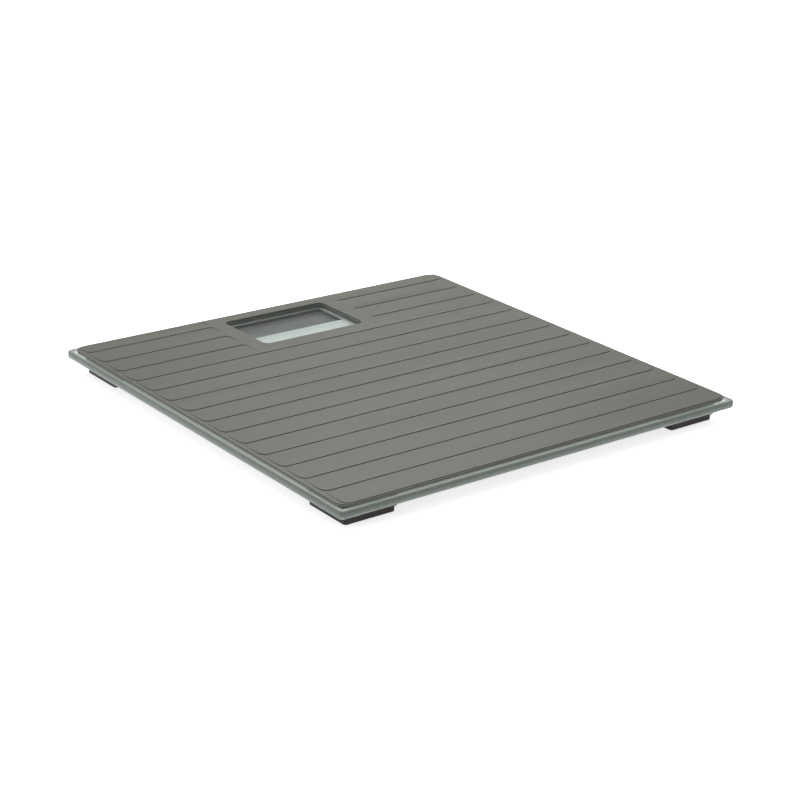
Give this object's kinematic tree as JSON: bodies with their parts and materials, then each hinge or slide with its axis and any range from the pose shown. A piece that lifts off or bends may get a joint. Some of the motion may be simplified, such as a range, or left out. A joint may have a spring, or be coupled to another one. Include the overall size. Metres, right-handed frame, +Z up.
{
  "type": "digital bathroom scale",
  "caption": "Flat square glass bathroom scale with a slatted grey mat, a display set under a window near one edge, and sensing feet at the corners.",
  "frame": {"origin": "on the floor under the middle of the scale", "axes": "+Z up, +Y towards the display end, +X along the slats of the mat"},
  "size_m": [0.3, 0.3, 0.0165],
  "materials": {
    "clear_glass": "clear tempered glass with ground, polished edges",
    "adhesive_film": "grey double-sided film",
    "grey_mat": "satin warm grey, fine streaks along the slats",
    "foam_tape": "white foam tape",
    "pale_bezel": "pale grey, fine moulded texture",
    "grey_housing": "grey, fine moulded texture",
    "dark_foam": "dark closed-cell foam",
    "lcd_film": "satin grey polarising film",
    "lcd_glass": "thin display glass",
    "ribbon_film": "amber film with printed tracks",
    "green_board": "green solder mask over copper tracks",
    "black_resin": "black resin",
    "ceramic_parts": "small ceramic parts with tinned ends",
    "button_plastic": "dark grey button",
    "cell_steel": "nickel-plated can",
    "spring_metal": "bright spring strip",
    "door_plastic": "grey, ridged where the thumb pushes",
    "screw_steel": "zinc-plated, slotted head",
    "clip_plastic": "white plastic",
    "bracket_plastic": "black moulded plastic",
    "sensor_steel": "stamped spring steel",
    "gauge_coating": "white silicone over the gauge",
    "foot_plastic": "black moulded plastic",
    "pad_rubber": "black non-slip rubber",
    "cable_sheath": "thin grey sheath"
  },
  "bodies": {
    "scale": {"glass_platform": "clear_glass", "mat_adhesive_film": "adhesive_film", "top_mat": "grey_mat", "housing_tape": "foam_tape", "display_bezel": "pale_bezel", "housing_base": "grey_housing", "lcd_gasket": "dark_foam", "lcd_polariser": "lcd_film", "lcd_panel": "lcd_glass", "lcd_foam_pad": "dark_foam", "lcd_ribbon": "ribbon_film", "circuit_board": "green_board", "controller_chip": "black_resin", "board_components": "ceramic_parts", "tact_switch": "black_resin", "coin_cell": "cell_steel", "battery_contact_negative": "spring_metal", "battery_contact_positive": "spring_metal", "housing_screws": "screw_steel", "board_screws": "screw_steel", "cable_clips": "clip_plastic", "foot_bracket_front_left": "bracket_plastic", "foot_bracket_front_right": "bracket_plastic", "foot_bracket_back_left": "bracket_plastic", "foot_bracket_back_right": "bracket_plastic", "bracket_tape_front_left": "foam_tape", "bracket_tape_front_right": "foam_tape", "bracket_tape_back_left": "foam_tape", "bracket_tape_back_right": "foam_tape", "load_cell_front_left": "sensor_steel", "load_cell_front_right": "sensor_steel", "load_cell_back_left": "sensor_steel", "load_cell_back_right": "sensor_steel", "strain_gauge_front_left": "gauge_coating", "strain_gauge_front_right": "gauge_coating", "strain_gauge_back_left": "gauge_coating", "strain_gauge_back_right": "gauge_coating", "cable_front_left": "cable_sheath", "cable_front_right": "cable_sheath", "cable_back_left": "cable_sheath", "cable_back_right": "cable_sheath"},
    "unit_button": {"unit_button": "button_plastic"},
    "battery_door": {"battery_door": "door_plastic"},
    "foot_front_left": {"foot_cap_front_left": "foot_plastic", "foot_pad_front_left": "pad_rubber"},
    "foot_front_right": {"foot_cap_front_right": "foot_plastic", "foot_pad_front_right": "pad_rubber"},
    "foot_back_left": {"foot_cap_back_left": "foot_plastic", "foot_pad_back_left": "pad_rubber"},
    "foot_back_right": {"foot_cap_back_right": "foot_plastic", "foot_pad_back_right": "pad_rubber"}
  },
  "joints": [
    {"name": "foot_front_left_press", "type": "slide", "parent": "scale", "child": "foot_front_left", "axis": [0, 0, 1], "range_m": [0, 0.0005], "stiffness_N_per_m": 20000, "springref_m": -0.0003},
    {"name": "foot_front_right_press", "type": "slide", "parent": "scale", "child": "foot_front_right", "axis": [0, 0, 1], "range_m": [0, 0.0005], "stiffness_N_per_m": 20000, "springref_m": -0.0003},
    {"name": "foot_back_left_press", "type": "slide", "parent": "scale", "child": "foot_back_left", "axis": [0, 0, 1], "range_m": [0, 0.0005], "stiffness_N_per_m": 20000, "springref_m": -0.0003},
    {"name": "foot_back_right_press", "type": "slide", "parent": "scale", "child": "foot_back_right", "axis": [0, 0, 1], "range_m": [0, 0.0005], "stiffness_N_per_m": 20000, "springref_m": -0.0003},
    {"name": "unit_button_press", "type": "slide", "parent": "scale", "child": "unit_button", "axis": [0, 0, 1], "range_m": [0, 0.0005], "stiffness_N_per_m": 800, "springref_m": -0.0003},
    {"name": "battery_door_slide", "type": "slide", "parent": "scale", "child": "battery_door", "axis": [0, -1, 0], "range_m": [0, 0.022]}
  ]
}
